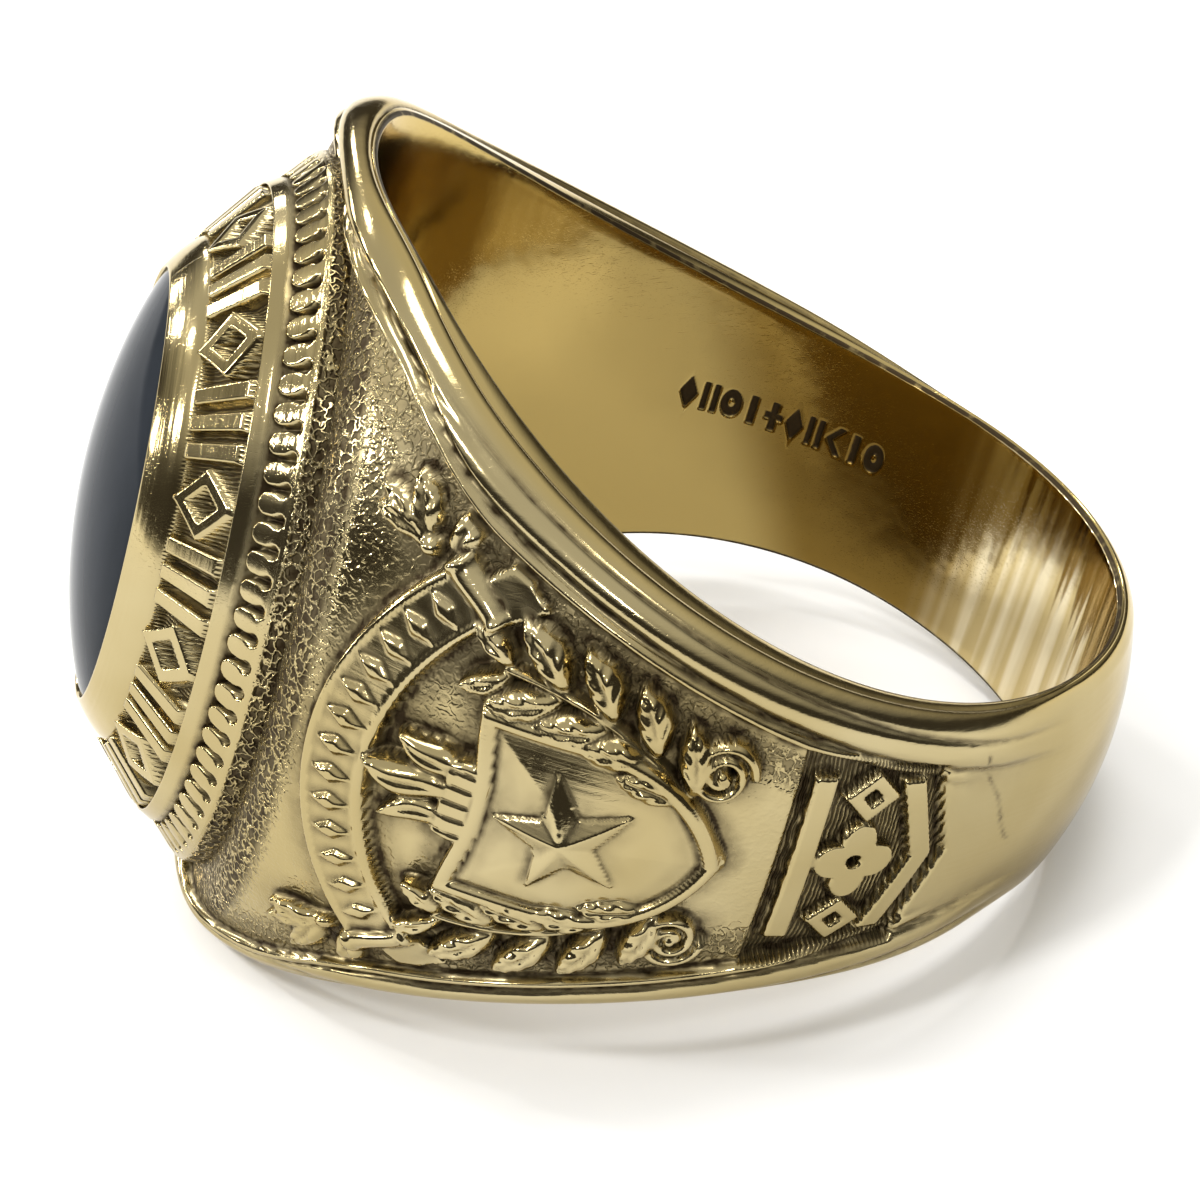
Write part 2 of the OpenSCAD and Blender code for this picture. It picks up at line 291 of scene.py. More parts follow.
crest = {
    "middleX": -3.5,
    "lowRise": 0.34,
    "highRise": 0.56,
    "bareUnder": 0.05,  # the ground counts as bare where the relief is lower
    "beforePanel": (0.15, -0.1),  # the relief fades out over this stretch at the panel
    "clearOfRim": (-0.06, 0.1),  # and over this one at the mouldings
}
shield = {
    "length": 5.6,
    "width": 4.8,
    "straightSide": 2.2,
    "topBow": 0.12,
    "edge": 0.16,
    "border": 0.42,
    "dome": (0.26, 2.4, 1.5),  # rise, reach inwards and steepness
}
star = {
    "middle": -0.6,
    "reach": 1.55,
    "notch": 0.42,
    "foot": 0.08,
    "rise": 0.32,
}


def shieldInside(u, v):
    half, top = shield["width"] / 2, -shield["length"] / 2
    bow = shield["length"] - shield["straightSide"]
    bowRadius = (bow ** 2 + half ** 2) / (2 * half)
    bowStart = top + shield["straightSide"]
    curved = np.hypot(u - bowStart, np.abs(v) + bowRadius - half) - bowRadius
    side = np.where(u < bowStart, np.abs(v) - half, curved)
    return -np.maximum(side, top - u + shield["topBow"] * np.cos(v * math.pi / half))


def starShare(u, v):  # 1 in the star's middle, 0 on its outline
    sector = math.pi / 5
    fold = np.abs((np.arctan2(v, -u) + sector) % (2 * sector) - sector)
    tip, notch = star["reach"], star["reach"] * star["notch"]
    edgeX, edgeY = notch * math.cos(sector) - tip, notch * math.sin(sector)
    outline = tip * edgeY / np.maximum(edgeY * np.cos(fold) - edgeX * np.sin(fold), tiny)
    return 1 - np.hypot(u, v) / outline


leaf = {
    "bend": 0.048,  # sideways bend, as a share of the length
    "edge": 0.42,  # rounded edge, as a share of the width
    "swell": 0.1,  # how much higher the tip is than the base
    "vein": 0.09,
    "veinHalf": 0.07,
    "veinEnd": 0.85,
    "ribs": 0.03,
    "ribPitch": 0.42,
    "ribSlant": 1.2,
    "ribFade": 0.12,
}
laurel = {
    "gap": 0.8,  # between the shield's side and the stem's foot
    "stemHalf": 0.12,
    "stemFrom": 0.02,  # radians round the stem's bend
    "pairs": 5,
    "firstAt": 0.3,
    "stretch": 0.86,  # share of the stem that has leaves
    "offStem": 0.07,
    "lean": 32,  # degrees
    "leafSize": (1.75, 0.82),
    "firstSize": 0.68,
}


def leafRise(u, v, base, angle, size, rise, vein=leaf["vein"], ribs=leaf["ribs"]):
    length, width = size
    offU, offV = u - base[0], v - base[1]
    along = offU * math.cos(angle) + offV * math.sin(angle)
    share = np.clip(along / length, 0, 1)
    bend = leaf["bend"] * length * np.sin(share * math.pi) * (1 if angle > 0 else -1)
    across = np.abs(offV * math.cos(angle) - offU * math.sin(angle) + bend)
    bowRadius = (length ** 2 + width ** 2) / (4 * width)
    inside = bowRadius - np.hypot(along - length / 2, across + bowRadius - width / 2)
    body = pillow(inside, rise, width * leaf["edge"]) + leaf["swell"] * share * (inside > 0)
    crease = vein * np.exp(-(across / leaf["veinHalf"]) ** 2) * (along < length * leaf["veinEnd"])
    waves = ribs * np.cos((along - across * leaf["ribSlant"]) * 2 * math.pi / leaf["ribPitch"])
    waves = waves * (across > leaf["veinHalf"]) * np.clip(inside / leaf["ribFade"], 0, 1)
    return np.where(inside > 0, body - crease + waves, 0)


def laurelRise(u, v):
    rise, length = shield["width"] / 2 + laurel["gap"], shield["length"]
    bendRadius = (length ** 2 + rise ** 2) / (2 * rise)
    stemTurn = math.asin(length / bendRadius)
    startU, startV = -length / 2, rise - bendRadius
    offU, offV = u - startU, np.abs(v) - startV
    turned = np.arctan2(offU, offV)
    onStem = (turned > laurel["stemFrom"]) & (turned < stemTurn)
    stemInside = laurel["stemHalf"] - np.abs(np.hypot(offU, offV) - bendRadius)
    height = np.where(onStem, pillow(stemInside, crest["lowRise"], laurel["stemHalf"]), 0)
    for pair in range(laurel["pairs"]):
        at = (pair + laurel["firstAt"]) * stemTurn * laurel["stretch"] / laurel["pairs"]
        size = [reach * (1 if pair else laurel["firstSize"]) for reach in laurel["leafSize"]]
        for side in (-1, 1):
            fromBend = bendRadius - side * laurel["offStem"]
            base = startU + fromBend * math.sin(at), startV + fromBend * math.cos(at)
            pointing = at - side * math.radians(laurel["lean"])
            angle = math.atan2(math.sin(pointing), -math.cos(pointing))
            height = np.maximum(height, leafRise(u, np.abs(v), base, angle, size, crest["highRise"]))
    return height


torch = {
    "half": 0.95,
    "cupLength": 0.5,
    "cupFoot": 0.35,  # how far it reaches over the shield
    "waist": (0.12, 4),  # how much narrower, and how soon
    "edge": 0.2,
    "groovePitch": 0.38,
    "grooveShare": 0.3,
    "groove": 0.05,
    "grooveFrom": 0.08,
    "flameStart": 0.5,
    # place across, length, width, lean in radians and share of the height
    "flames": ((-0.42, 1.7, 0.8, 0.36, 1), (0.42, 1.7, 0.8, -0.36, 1), (0, 2.15, 1.0, 0, 1.2)),
    "curl": (0.1, 3.4, 3),  # how far, how often, and how much the flames differ
    "flameVein": 0.06,
}
scroll = {
    "radius": 0.72,
    "past": 0.15,  # beyond the shield's point
    "outwards": 0.1,
    "taper": 0.4,
    "coilHalf": 0.15,
    "coilRise": 0.85,
    "eye": 0.2,
}


def torchRise(u, v):
    top = -shield["length"] / 2
    waist, pace = torch["waist"]
    side = torch["half"] * (1 + waist * np.cos((u - top) * pace)) - np.abs(v)
    cupInside = lowest(u - top + torch["cupLength"], top + torch["cupFoot"] - u, side)
    groove = np.abs(np.sin(v * math.pi / torch["groovePitch"])) < torch["grooveShare"]
    height = pillow(cupInside, crest["highRise"], torch["edge"])
    height = height - torch["groove"] * groove * (cupInside > torch["grooveFrom"])
    start = top - torch["cupLength"] + torch["flameStart"]
    curl, often, apart = torch["curl"]
    for offset, length, width, lean, taller in torch["flames"]:
        bent = v - curl * np.sin((start - u) * often + offset * apart)
        flame = leafRise(u, bent, (start, offset), math.pi + lean, (length, width),
                         crest["highRise"] * taller, torch["flameVein"], 0)
        height = np.maximum(height, flame)
    return height


def scrollRise(u, v):
    reach = scroll["radius"]
    offU = u - (shield["length"] / 2 - reach + scroll["past"])
    offV = np.abs(v) - (shield["width"] / 2 - reach / 2 + scroll["outwards"])
    distance = np.hypot(offU, offV)
    turn = np.arctan2(offV, offU) / (2 * math.pi) % 1
    height = pillow(scroll["eye"] - distance, crest["highRise"], scroll["eye"])
    for lap in (0, 1):
        coilInside = scroll["coilHalf"] - np.abs(distance - reach * (1 - scroll["taper"] * (turn + lap)))
        coil = pillow(coilInside, crest["highRise"] * scroll["coilRise"], scroll["coilHalf"])
        height = np.maximum(height, coil)
    return height


ribbon = {
    "middle": 0.75,
    "radius": 6.15,
    "width": 1.35,
    "turn": 47,  # degrees from its middle to an end
    "rise": 0.38,
    "edge": 0.12,
    "line": (0.13, 0.2, 0.05),  # along both sides: place, width and height
    "lozengeTurn": 6.6,  # degrees from one to the next
    "lozengeHalf": 0.2,
    "lozengeSlope": (0.8, 0.44),  # along and across
    "lozengeSteep": 1.4,
    "lozengeRise": 0.14,
    "plainEnd": 0.6,
    "curlHalf": 0.34,
    "curlRise": 0.62,
    "curlPast": 0.14,  # how far the rolled end stands out over the sides
    "curlEdge": 0.12,
    "curlWave": (0.06, 3),
    "curlLine": (0.16, 0.2, 0.07),
    "tailShift": 0.3,
    "tailHalf": 0.8,  # as a share of the ribbon's
    "tailLength": 1.06,
    "tailNotch": 0.3,
    "tailRise": 0.7,
    "tailEdge": 0.1,
    "tailWave": (0.06, 5, 0.05),  # height, pace, and how far inside it starts
}
sprigs = {
    # base, angle in radians and length
    "leaves": (((-4.55, 4.75), 2.45, 1.5), ((-4.75, 4.95), 1.75, 1.35),
               ((-4.5, 5.0), 3.0, 1.3), ((-4.2, 4.9), 1.2, 1.1)),
    "width": 0.62,
    "rise": 0.36,
    "berryAt": (-4.6, 4.9),
    "berryRadius": 0.22,
    "berryRise": 0.42,
}


def ribbonRise(u, v):
    half = ribbon["width"] / 2
    fromMiddle = ribbon["middle"] - u
    across = np.hypot(fromMiddle, v) - ribbon["radius"]
    along = np.arctan2(np.abs(v), fromMiddle) * ribbon["radius"]
    length = math.radians(ribbon["turn"]) * ribbon["radius"]
    inside = np.minimum(half - np.abs(across), length - along)
    lineAt, lineWidth, lineRise = ribbon["line"]
    body = pillow(inside, ribbon["rise"], ribbon["edge"])
    body = body + lineRise * roundBead(half - np.abs(across), lineAt, lineWidth)
    step = math.radians(ribbon["lozengeTurn"]) * ribbon["radius"]
    cell = (along + step / 2) % step - step / 2
    slopeAlong, slopeAcross = ribbon["lozengeSlope"]
    lozenge = ribbon["lozengeHalf"] - np.abs(cell) * slopeAlong - np.abs(across) * slopeAcross
    lozenge = np.clip(lozenge * ribbon["lozengeSteep"], 0, ribbon["lozengeRise"])
    body = body + lozenge * (along < length - ribbon["plainEnd"])
    past = along - length
    wave, pace = ribbon["curlWave"]
    roll = np.abs(past + wave * np.sin(across * pace))
    rollInside = half + ribbon["curlPast"] - np.abs(across)
    curl = ribbon["curlRise"] * roundBead(roll, 0, 2 * ribbon["curlHalf"])
    curl = curl * smoothStep(0, ribbon["curlEdge"], rollInside)
    lineAt, lineWidth, lineRise = ribbon["curlLine"]
    curl = curl + lineRise * roundBead(rollInside, lineAt, lineWidth) * (roll < ribbon["curlHalf"])
    tailAcross = np.abs(across + ribbon["tailShift"])
    tailEnd = ribbon["tailLength"] + ribbon["tailNotch"] * tailAcross / half
    tailInside = lowest(half * ribbon["tailHalf"] - tailAcross, past, tailEnd - past)
    wave, pace, waveFrom = ribbon["tailWave"]
    tail = pillow(tailInside, ribbon["rise"] * ribbon["tailRise"], ribbon["tailEdge"])
    tail = tail + wave * np.sin(past * pace) * (tailInside > waveFrom)
    return highest(np.where(inside > 0, body, 0), curl, tail)


def sprigRise(u, v):
    v = np.abs(v)
    fromBerry = np.hypot(u - sprigs["berryAt"][0], v - sprigs["berryAt"][1])
    height = pillow(sprigs["berryRadius"] - fromBerry, sprigs["berryRise"], sprigs["berryRadius"])
    for base, angle, length in sprigs["leaves"]:
        sprig = leafRise(u, v, base, angle, (length, sprigs["width"]), sprigs["rise"])
        height = np.maximum(height, sprig)
    return height


def crestRise(x, z):  # height over the ground, with 1 where the ground is left bare
    u = x - crest["middleX"]
    inside = shieldInside(u, z)
    face = pillow(inside, crest["lowRise"], shield["edge"])
    border = roundBead(inside, shield["border"] / 2, shield["border"])
    face = face + (crest["highRise"] - crest["lowRise"]) * border
    rise, reach, steepness = shield["dome"]
    face = face + rise * np.sin(np.clip(inside / reach, 0, 1) * math.pi / 2) ** steepness
    onStar = starShare(u - star["middle"], z)
    face = face + np.where(onStar > 0, star["foot"] + star["rise"] * onStar, 0)
    height = np.where(inside > 0, face, 0)
    for figure in (torchRise, laurelRise, scrollRise, ribbonRise, sprigRise):
        height = np.maximum(height, figure(u, z))
    return height, 1 - smoothStep(0, crest["bareUnder"], height)


panel = {
    "start": 0.6,
    "length": 3.4,
    "tip": 0.75,
    "startHalf": 2.8,
    "endHalf": 2.3,
    "dip": 0.28,
    "edge": (-0.12, 0.1),
    "gap": 0.3,
    "bar": 0.6,
    "barLonger": 0.15,
    "figureEdge": (-0.06, 0.07),
    "flower": 1.0,
    "flowerPast": 0.15,  # beyond the panel's middle
    "petals": (0.62, 0.38),  # the notches' reach, and how much further the petals go
    "flowerEye": 0.13,
    "lozengeAt": 1.62,
    "lozengeSlope": (0.8, 0.9),
    "lozengeSize": (0.16, 0.58),  # hole and outline
}
ground = {
    "bezelOval": 8.75,
    "bezelStretch": 1.136,
    "besideBezel": (1.75, 0.95),  # the punched ground is coarse from here to the bezel
    "besideRim": (1.3, 0.5),  # and less so along the mouldings
    "rimShare": 0.45,
    "least": 0.06,
}
scratch = {
    "start": (5.04, 2.39),  # x and z of its ends
    "end": (6.6, -0.26),
    "half": 0.07,
    "waver": (0.05, 9),  # how far it bends, and how often
    "fading": 14,  # how often it grows fainter
    "dark": 0.9,
}


def panelFigures(x, z):  # returns how deep inside the panel and how deep inside its figures
    u, v = x - panel["start"], np.abs(z)
    side = between((panel["startHalf"], panel["endHalf"]), u / panel["length"])
    tipSlope = panel["tip"] / panel["endHalf"]
    point = (panel["length"] + panel["tip"] - u) / tipSlope
    inside = lowest(side - v, u, (point - v) * tipSlope)
    reach, half = panel["endHalf"] - panel["gap"], panel["bar"] / 2
    bar = np.minimum(half - np.abs(u - panel["gap"] - half), reach + panel["barLonger"] - v)
    chevronAt = panel["length"] - panel["gap"] - half + panel["tip"] * (1 - v / reach)
    chevron = np.minimum(half - np.abs(u - chevronAt), reach - v)
    fromFlower = u - panel["length"] / 2 - panel["flowerPast"]
    distance = np.hypot(fromFlower, z)
    notches, further = panel["petals"]
    petals = notches + further * np.abs(np.cos(2 * np.arctan2(z, fromFlower)))
    petals = np.minimum(panel["flower"] * petals - distance, distance - panel["flowerEye"])
    slopeAlong, slopeAcross = panel["lozengeSlope"]
    spread = np.abs(fromFlower) * slopeAlong + np.abs(v - panel["lozengeAt"]) * slopeAcross
    hole, outline = panel["lozengeSize"]
    return inside, highest(bar, chevron, petals, np.minimum(outline - spread, spread - hole))


def sideRelief(x, y, z, run, fieldStart):  # height, punched ground and hatched ground
    height, bare = crestRise(x, z)
    inside, figures = panelFigures(x, z)
    fromField = run - fieldStart
    clear = smoothStep(*crest["beforePanel"], x - panel["start"])
    clear = clear * smoothStep(*crest["clearOfRim"], fromField)
    hatched = smoothStep(*panel["edge"], inside) * (1 - smoothStep(*panel["figureEdge"], figures))
    height = height * clear - panel["dip"] * hatched
    fromBezel = np.hypot(y * ground["bezelStretch"], z) - ground["bezelOval"]
    alongRim = ground["rimShare"] * smoothStep(*ground["besideRim"], fromField)
    coarse = highest(smoothStep(*ground["besideBezel"], fromBezel), alongRim, ground["least"])
    return height, bare * clear * coarse, hatched


def scratchShare(x, z):  # one long scratch beside the panel
    (startX, startZ), (endX, endZ) = scratch["start"], scratch["end"]
    runX, runZ = endX - startX, endZ - startZ
    share = np.clip(((x - startX) * runX + (z - startZ) * runZ) / (runX ** 2 + runZ ** 2), 0, 1)
    bend, often = scratch["waver"]
    offX = x - startX - share * runX + bend * np.sin(often * share)
    away = np.hypot(offX, z - startZ - share * runZ)
    faint = 0.5 + 0.5 * np.sin(scratch["fading"] * share + 1) ** 2
    return scratch["dark"] * np.clip(1 - away / scratch["half"], 0, 1) * faint


bandMesh = {
    "shoulderTurns": ((0, 20, 24), (20, 118, 334)),  # degrees from the head, and columns
    "palmTurns": ((118, 242, 180),),
    "rollRows": 21,
    "mouldingStep": 0.062,
    "mouldingReach": 2.2,
    "middleRows": 164,
}
residue = {
    "hollows": ((4, 0.075, 1), (12, 0.24, 0.8)),  # rows and columns around, depth and darkness
    "lines": (0.06, 0.72, 1.34),  # where it lies between the shank's bands
    "lineHalf": 0.1,
    "lineDark": 0.75,
}
lappedShare = 0.6  # strength of the fine polishing lines on the band


def bandSheet(name, turns, side, flip):
    turn = turns[None, :]
    width = halfWidth(turn)
    rollZ, rollR = edgeRoll(turn)
    angles = np.linspace(0, math.pi / 2, bandMesh["rollRows"])[:, None]
    step = bandMesh["mouldingStep"]
    flat = rollZ + np.arange(step, bandMesh["mouldingReach"], step)[:, None]
    inset = np.concatenate([rollZ * (1 - np.cos(angles)), flat])
    drop = np.concatenate([rollR * (1 - np.sin(angles)), 0 * flat])
    leanZ = np.concatenate([np.cos(angles) / rollZ, 0 * flat])
    leanR = np.concatenate([np.sin(angles) / rollR, 0 * flat + 1])
    longest = np.hypot(leanZ, leanR)
    leanZ, leanR = leanZ / longest, leanR / longest
    steps = np.hypot(np.diff(inset, axis=0), np.diff(drop, axis=0))
    run = np.concatenate([0 * turn, np.cumsum(steps, 0)])
    middle = np.linspace(1, -1, bandMesh["middleRows"] + 2)[1:-1, None] * (width - inset[-1:])
    z = np.concatenate([width - inset, middle, (inset - width)[::-1]])
    drop = np.concatenate([drop, 0 * middle, drop[::-1]])
    leanZ = np.concatenate([leanZ, 0 * middle, -leanZ[::-1]])
    leanR = np.concatenate([leanR, 0 * middle + 1, leanR[::-1]])
    run = np.concatenate([run, run[-1:] + width - inset[-1:] - np.abs(middle), run[::-1]])
    radius = groundRadius(turn, z)
    x, y = -radius * np.cos(turn), radius * np.sin(turn)
    shank = shankShare(turn)
    height, punched, hatched = sideRelief(x, y, z, run, between(rim["fieldStart"], shank))
    height = height + mouldings(turn, run)
    hollow = highest(*(dark * hollowFrom(height, reach, depth) for reach, depth, dark in residue["hollows"]))
    onBeads = residue["lineDark"] * shank * fadeOut(turn, rim["beadFade"])
    for line in residue["lines"]:
        hollow = np.maximum(hollow, onBeads * np.clip(1 - np.abs(run - line) / residue["lineHalf"], 0, 1))
    if side < 0:  # the scratch is on the near side alone
        hollow = np.maximum(hollow, scratchShare(x, z) * (np.sin(turn) > 0))
    foot = rimFoot(turn) * (drop > 0)
    lift = height - foot
    points = ringPoint(turn, radius + foot - drop + lift * leanR, z + lift * leanZ * (drop > 0), side)
    marks = {"hollow": hollow, "stipple": punched, "hatch": hatched, "lapped": lappedShare * (1 - punched),
             "inside": rim["insideTone"] * smoothStep(*rim["insideFrom"], drop / rollR)}
    return sheetPiece(name, points, marks, stacked(turn * band["shoulderRadius"], z), flip)


shoulderTurns = np.radians(spreadAlong(*bandMesh["shoulderTurns"]))
palmTurns = np.radians(spreadAlong(*bandMesh["palmTurns"]))
goldPieces = [bandSheet("shoulder_near", shoulderTurns, -1, True),
              bandSheet("shoulder_far", shoulderTurns, 1, False),
              bandSheet("palm_band", palmTurns, -1, True)]
print("band sheets are done")


# Inside of the band: flat lands at both edges, rounded corners, the bore's wall and its punched marks

liner = {
    "landRows": 4,
    "cornerRows": 4,
    "sideRows": 10,  # on each side of the marks
    "marksRows": 25,
    "columns": (250, 150, 100),  # before, at and after the marks
    "marks": ("ring", "bar", "chevron", "twin", "lozenge", "cross", "bar", "ring", "twin", "lozenge"),
    "marksFrom": 233.5,  # degrees from the head, against the clock seen from +z
    "marksStep": 3.35,
    "marksMiddle": 0.55,
    "marksReach": 0.5,
    "marksHalf": 0.4,
    "marksStroke": 0.095,
    "marksDepth": 0.07,
    "marksEdge": (-0.03, 0.04),
    "marksDark": 1.7,
    "twin": (0.8, 0.14),  # share of the stroke, and distance from the middle
    "ring": (0.7, 0.18),  # how much it is squashed, and its radius
    "chevron": (0.16, 0.8),  # where its point is, and its slope
    "lozenge": (0.24, 0.5),
    "crossHalf": 0.24,
    "cornerShare": 0.8,  # how much of the corner is dark
    "cornerDark": 1.3,
    "brushedSheen": (138, 156, 0.9),  # degrees from the head, and strength of the brushing and its painted sheen
    "paintedReflection": (204, 222, 0.9),  # the same for the painted dark reflection on the wall
    "paintedReflectionEdge": (8, -6),  # degrees over which it ends at the brushed part
    "paintedReflectionEnd": (252, 3),  # and where, in degrees, with its slant in degrees per millimetre
}


def punchInside(kind, u, v):  # how deep a place is inside one mark; u along the row, v across it
    half, stroke = liner["marksHalf"], liner["marksStroke"]
    along, across = np.abs(u), np.abs(v)
    if kind == "bar":
        return np.minimum(stroke - along, half - across)
    if kind == "twin":
        share, apart = liner["twin"]
        return np.minimum(stroke * share - np.abs(along - apart), half - across)
    if kind == "ring":
        squashed, radius = liner["ring"]
        return stroke - np.abs(np.hypot(along, across * squashed) - radius)
    if kind == "chevron":
        point, slope = liner["chevron"]
        return np.minimum(stroke - np.abs(u - point + slope * across), half - across)
    if kind == "cross":
        upright = np.minimum(stroke - along, half - across)
        return np.maximum(upright, np.minimum(stroke - across, liner["crossHalf"] - along))
    reach, slope = liner["lozenge"]
    return reach - along - slope * across


def punchedMarks(turn, z):
    deepest = np.full(np.broadcast(turn, z).shape, -1.0)
    for index, kind in enumerate(liner["marks"]):
        at = math.radians(liner["marksFrom"] + index * liner["marksStep"])
        inside = punchInside(kind, (turn - at) * boreRadius, z - liner["marksMiddle"])
        deepest = np.maximum(deepest, inside)
    return smoothStep(*liner["marksEdge"], deepest)


def linerSheet():
    before, at, after = liner["columns"]
    marksStart = liner["marksFrom"] - 3
    marksEnd = liner["marksFrom"] + len(liner["marks"]) * liner["marksStep"]
    degrees = spreadAlong((0, marksStart, before), (marksStart, marksEnd, at), (marksEnd, 360, after))
    degrees = degrees[None, :-1]
    turn = np.radians(degrees)
    width = halfWidth(turn)
    corner = rim["cornerRound"]
    outer = edgeLevel(turn) - edgeRoll(turn)[1]
    radii, heights = [], []
    for share in np.linspace(0, 1, liner["landRows"] + 1)[:-1]:
        radii.append(outer + (boreRadius + corner - outer) * share)
        heights.append(width + rim["landCrown"] * math.sin(math.pi * share))
    for angle in np.radians(np.linspace(0, 90, liner["cornerRows"] + 1)):
        radii.append(boreRadius + corner * (1 - math.sin(angle)) + 0 * turn)
        heights.append(width - corner * (1 - math.cos(angle)))
    radius, z = np.concatenate(radii), np.concatenate(heights)
    reach, sideRows = z[-1:], liner["sideRows"]
    low, high = liner["marksMiddle"] - liner["marksReach"], liner["marksMiddle"] + liner["marksReach"]
    upper = high + (reach - high) * np.linspace(1, 0, sideRows + 1)[1:, None]
    middle = np.linspace(high, low, liner["marksRows"] + 1)[1:, None] + 0 * turn
    lower = low - (reach + low) * np.linspace(0, 1, sideRows + 2)[1:-1, None]
    wall = np.concatenate([upper, middle, lower])
    z = np.concatenate([z, wall, -z[::-1]])
    radius = np.concatenate([radius, 0 * wall + boreRadius, radius[::-1]])
    onWall = np.abs(radius - boreRadius) < tiny
    onCorner = (radius > boreRadius) * (radius < boreRadius + corner * liner["cornerShare"])
    punched = punchedMarks(turn, z) * onWall
    points = ringPoint(turn, radius + liner["marksDepth"] * punched, z, -1)
    brushedFrom, brushedTo, brushedShare = liner["brushedSheen"]
    grain = smoothStep(brushedFrom, brushedTo, awayFromHead(turn)) * onWall * brushedShare
    # painted dark reflection: the wall is darker from its middle to the brushed palm, along a slanted edge
    paintedReflectionFrom, paintedReflectionTo, paintedReflectionShare = liner["paintedReflection"]
    paintedReflectionEnd, slant = liner["paintedReflectionEnd"]
    paintedReflection = smoothStep(*liner["paintedReflectionEdge"], degrees - paintedReflectionEnd - slant * z)
    paintedReflection = paintedReflection * smoothStep(paintedReflectionFrom, paintedReflectionTo, degrees) * onWall * paintedReflectionShare
    marks = {"hollow": liner["marksDark"] * punched + liner["cornerDark"] * onCorner, "grain": grain,
             "paintedReflection": paintedReflection, "inside": np.where(onWall, 1, rim["insideTone"])}
    return sheetPiece("band_inside", points, marks, stacked(turn * boreRadius, z), False, closed=True)


goldPieces.append(linerSheet())
print("inside of the band is done")


# Bezel: a stepped oval. Each row is an oval, given by its half length along the finger,
# at a level over the head's face

bezel = {
    "faceX": 10.4,
    "narrower": 1.05,  # each oval's half width is this much under its half length
    "columns": 1440,
    "evenAt": 8.0,  # the oval along which columns are spread evenly
    "finePoints": 20001,
    "longRow": 0.1,  # rows further apart than this are filled with more rows
    "trimStep": 0.045,
    "collarStep": 0.05,
    "wallOutside": 8.7,
    "wallTop": (0.48, 0.36),  # the punched ground ends here
    "tongues": 72,
    "tongueFrom": 7.94,
    "tongueEdge": 0.012,
    "tongueHalf": 0.3,
    "tongueDip": 0.3,
    "tongueCrown": 0.025,
    "padEdge": (-0.03, 0.055),
    "faceSlope": 1.34,  # length over the sloping face for each millimetre of half length
    "slotWiden": (0.07, 8.48, 0.1),  # how much, at which oval, and over what reach
    "lip": (8.5, 8.6),
    # where the painted shade in the gap behind the rail lies, and its reach
    "behindRail": (7.945, 0.035),
    "channelInner": 6.26,
    "channelOuter": 7.7,
    "channelFrom": (6.24, 6.3),
    "channelTo": (7.72, 7.66),
    "channelDark": 0.6,
    "ornaments": 22,
    "ornamentRise": 0.46,
    "ornamentSide": (0.1, 0.38),  # from the hatched floor up to the polished top
    "ornamentEnd": 0.96,
    "lozenge": (0.88, 1.1, 0.66),  # half length, half width as a share of the channel's, and slope
    "lozengeEdge": 0.08,
    "lozengeSunk": (0.34, 0.39),
    "barHalf": 0.235,
    "barEnd": 0.93,
    "barEdge": 0.07,
    "barPitch": 0.67,
    "seatLevel": (3.45, 3.2),
    "seatInside": 5.4,
}
# (half length, level) of the rows, from the wall's foot up to the channel's outer edge
trimProfile = ((8.75, -0.5), (8.75, -0.2), (8.75, 0.1), (8.75, 0.36), (8.737, 0.44), (8.705, 0.5),
               (8.66, 0.55), (8.6, 0.6), (8.0, 1.14), (7.965, 1.175), (7.95, 1.21), (7.94, 1.26),
               (7.915, 1.31), (7.77, 1.55), (7.75, 1.585), (7.73, 1.6), (7.71, 1.595), (7.695, 1.57),
               (7.69, 1.5), (7.69, 1.4))
# and from there over the channel and the collar down to the stone's seat
collarProfile = ((7.69, 1.4), (7.688, 1.32), (7.68, 1.26), (7.65, 1.265), (6.33, 2.335), (6.3, 2.37),
                 (6.285, 2.42), (6.278, 2.5), (6.27, 2.6), (6.25, 2.7), (6.21, 2.79), (6.15, 2.88),
                 (6.07, 2.97), (5.98, 3.06), (5.88, 3.15), (5.78, 3.235), (5.68, 3.31), (5.59, 3.375),
                 (5.51, 3.43), (5.45, 3.47), (5.41, 3.49), (5.38, 3.49), (5.355, 3.47), (5.345, 3.42),
                 (5.34, 3.35), (5.34, 3.0), (5.34, 2.6))


def filledRows(profile, step):  # ovals and levels, with more rows where two are far apart
    rows = [profile[0]]
    for start, end in zip(profile, profile[1:]):
        count = 1
        if abs(end[0] - start[0]) > bezel["longRow"]:
            count = max(1, round(math.dist(start, end) / step))
        rows += [[between(pair, k / count) for pair in zip(start, end)] for k in range(1, count + 1)]
    rows = np.array(rows)
    return rows[:, :1], rows[:, 1:]


def evenTurns():  # oval turns, in radians, that stand at even distances along the oval
    fine = np.linspace(0, 2 * math.pi, bezel["finePoints"])
    y = (bezel["evenAt"] - bezel["narrower"]) * np.sin(fine)
    z = bezel["evenAt"] * np.cos(fine)
    run = np.concatenate([[0], np.cumsum(np.hypot(np.diff(y), np.diff(z)))])
    return np.interp(np.arange(bezel["columns"]) / bezel["columns"] * run[-1], run, fine), run[-1]


ovalTurns, ovalLength = evenTurns()
ovalShare = np.arange(bezel["columns"])[None, :] / bezel["columns"]


def ovalPoints(oval, level):  # turning from +z towards -y
    return stacked(-bezel["faceX"] - level, -(oval - bezel["narrower"]) * np.sin(ovalTurns),
                   oval * np.cos(ovalTurns))


